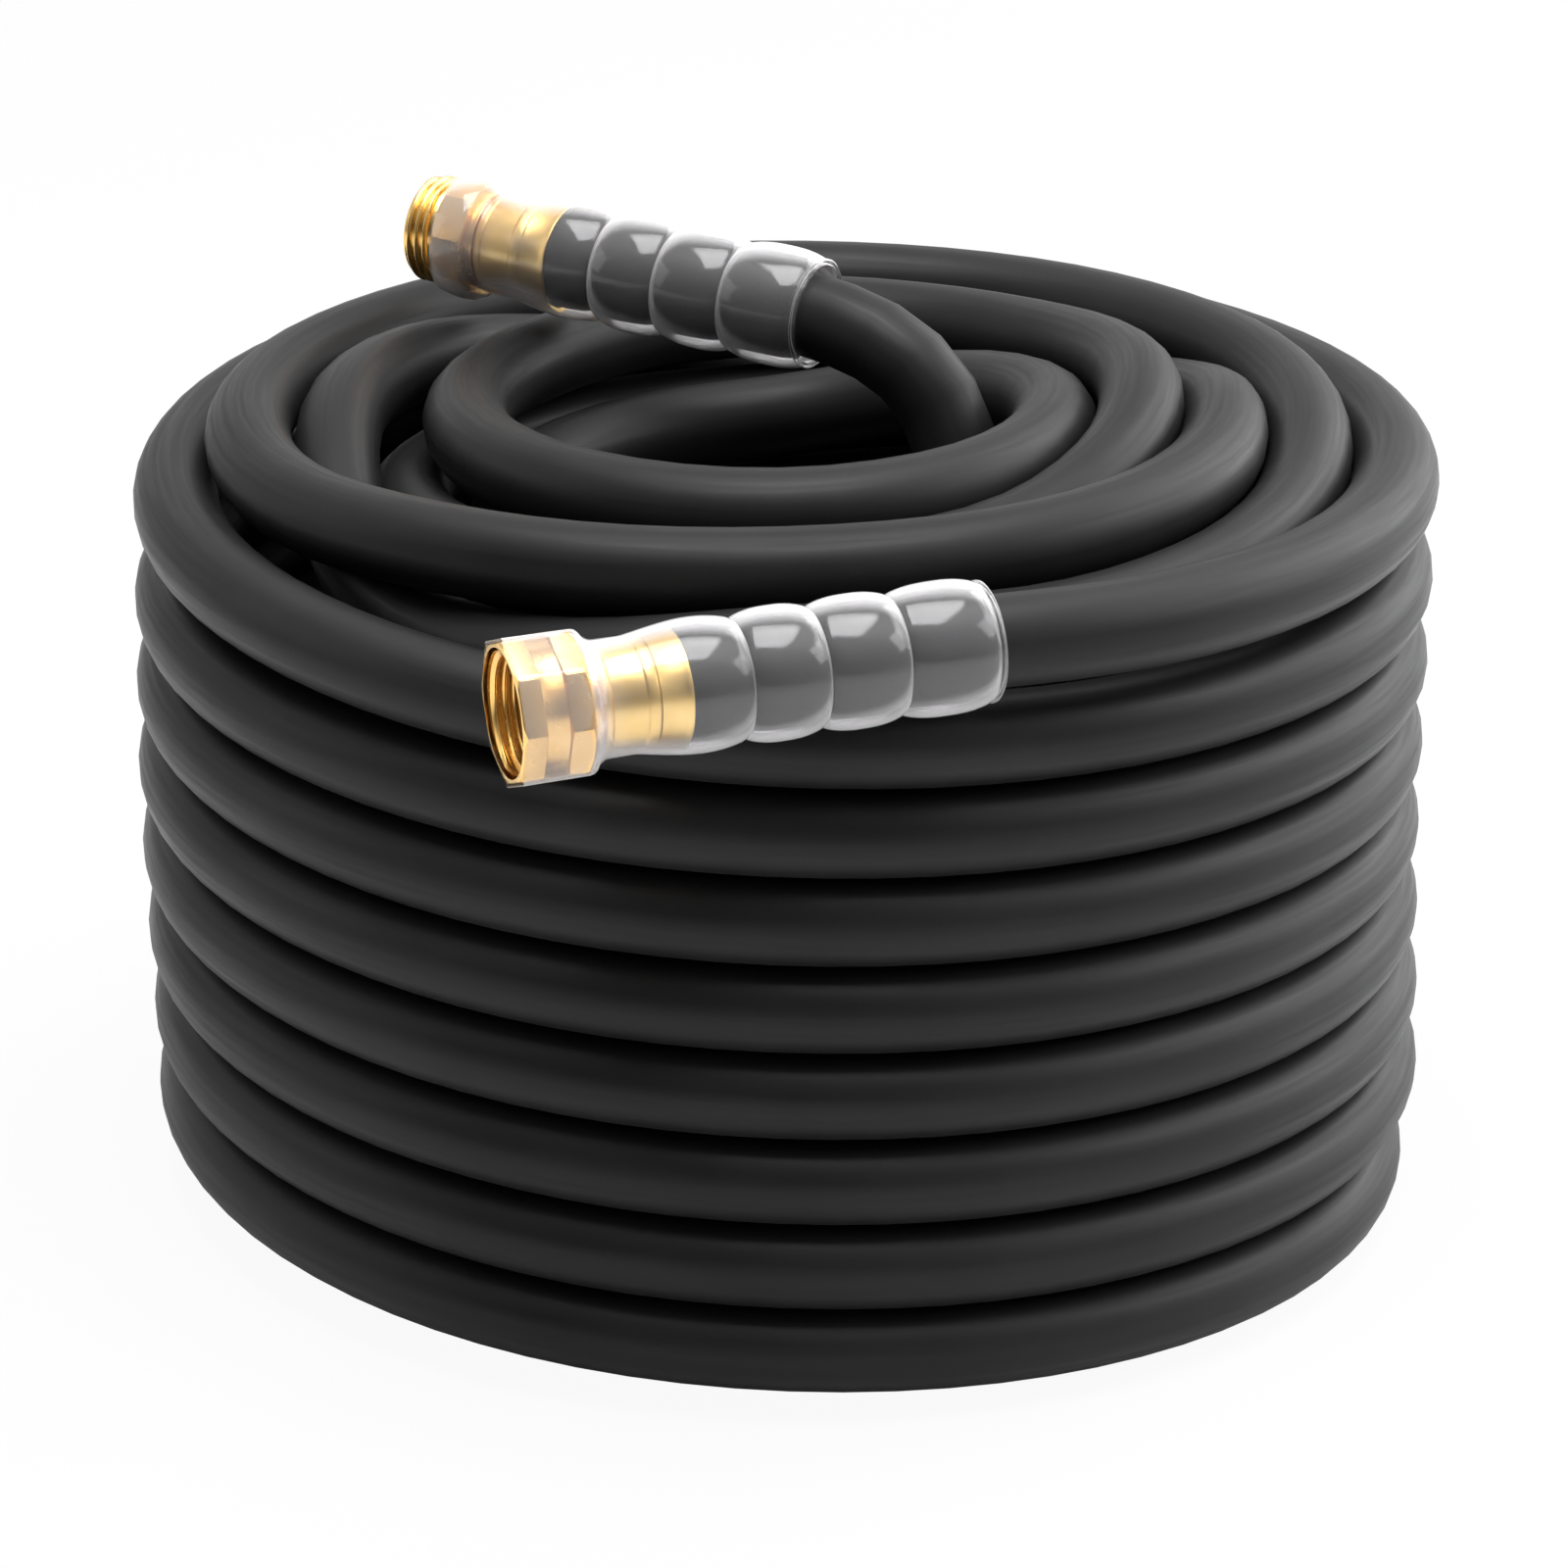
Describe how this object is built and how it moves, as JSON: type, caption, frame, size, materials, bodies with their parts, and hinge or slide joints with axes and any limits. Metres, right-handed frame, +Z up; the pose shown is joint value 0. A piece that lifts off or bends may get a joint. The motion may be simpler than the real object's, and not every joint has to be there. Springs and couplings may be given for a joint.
{
  "type": "coiled garden hose with brass couplings",
  "caption": "Black rubber water hose wound into a standing coil with loose crossing loops on top, a brass female swivel nut and a brass male end, each under a clear ribbed sleeve.",
  "frame": {"origin": "on the floor, at the middle of the flat base and on the axis of the coil", "axes": "+Z up along the coil axis; -Y is the front, where the female end lies across the coil"},
  "size_m": [0.3148, 0.3584, 0.2293],
  "materials": {
    "black_rubber": "satin",
    "washer_rubber": "matte",
    "white_plastic": "matte",
    "fitting_brass": "polished",
    "ferrule_brass": "satin",
    "clear_pvc": "clear flexible plastic"
  },
  "bodies": {
    "hose": {"hose_core": "black_rubber", "hose_outer_turns": "black_rubber", "hose_top_turns": "black_rubber", "hose_outlet_lead": "black_rubber", "hose_inlet_end": "black_rubber", "hose_outlet_end": "black_rubber", "inlet_tailpiece": "fitting_brass", "inlet_washer": "washer_rubber", "flow_disc": "white_plastic", "inlet_ferrule": "ferrule_brass", "outlet_tailpiece": "fitting_brass", "outlet_ferrule": "ferrule_brass", "outlet_sleeve": "clear_pvc"},
    "swivel": {"swivel_nut": "fitting_brass", "inlet_sleeve": "clear_pvc"}
  },
  "joints": [
    {"name": "nut_swivel", "type": "hinge", "parent": "hose", "child": "swivel", "pos_m": [-0.04583, -0.18012, 0.1849], "axis": [0.9388, 0.3417, 0.0436], "continuous": true}
  ]
}
